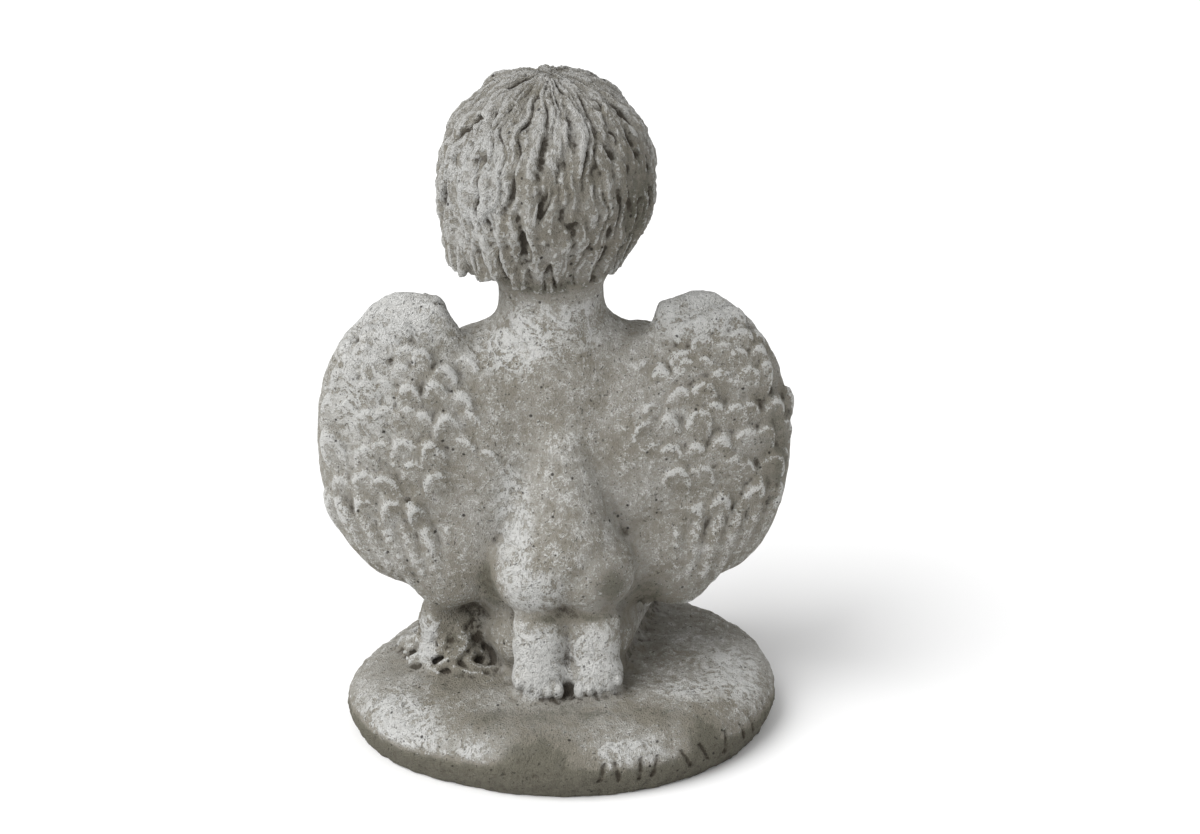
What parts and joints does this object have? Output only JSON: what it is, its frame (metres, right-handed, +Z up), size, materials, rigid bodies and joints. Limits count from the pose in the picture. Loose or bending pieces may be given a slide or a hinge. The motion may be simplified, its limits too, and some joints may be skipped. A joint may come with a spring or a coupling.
{
  "type": "cemetery angel statue",
  "caption": "Small cast-concrete angel: a kneeling, praying winged child on a low rounded base, all one casting, with a weathered stone finish.",
  "frame": {"origin": "middle of the underside of the base, below the centre of the whole part's box", "axes": "+Z up, the face looks along -Y, the angel's left wing is on +X"},
  "size_m": [0.1302, 0.1056, 0.1819],
  "materials": {
    "concrete": "weathered cast concrete, rough and matt"
  },
  "bodies": {
    "root": {"angel_statue": "concrete"}
  },
  "joints": []
}
